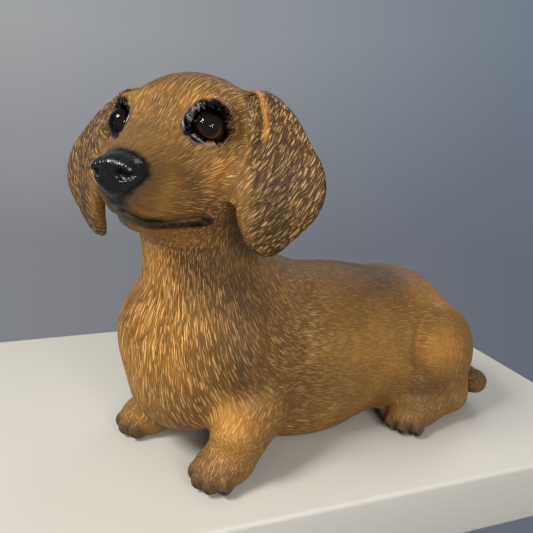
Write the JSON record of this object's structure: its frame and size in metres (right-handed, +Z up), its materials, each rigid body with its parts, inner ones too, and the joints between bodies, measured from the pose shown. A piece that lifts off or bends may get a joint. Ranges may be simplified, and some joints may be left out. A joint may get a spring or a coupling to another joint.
{
  "type": "dog figurine",
  "caption": "Resting short-haired dachshund figurine with a raised turned head, hanging ears, glass eyes and a flat belly to stand on.",
  "frame": {"origin": "middle of the vent in the belly, on the plane that the figurine lies on", "axes": "-Y is where the body points, from rump to breast; +X is the dog's left; +Z is up"},
  "size_m": [0.0808, 0.1721, 0.1389],
  "materials": {
    "painted_coat": "matt hand-painted tan coat with a darker wash in the engraved hair",
    "nose_glaze": "gloss black",
    "iris_paint": "dark brown iris with a black pupil",
    "eye_glass": "clear polished"
  },
  "bodies": {
    "root": {"torso": "painted_coat", "head": "painted_coat", "ear_left": "painted_coat", "ear_right": "painted_coat", "foreleg_left": "painted_coat", "foreleg_right": "painted_coat", "hind_leg_left": "painted_coat", "hind_leg_right": "painted_coat", "tail": "painted_coat", "nose": "nose_glaze", "eye_iris_left": "iris_paint", "eye_iris_right": "iris_paint", "eye_lens_left": "eye_glass", "eye_lens_right": "eye_glass"}
  },
  "joints": []
}
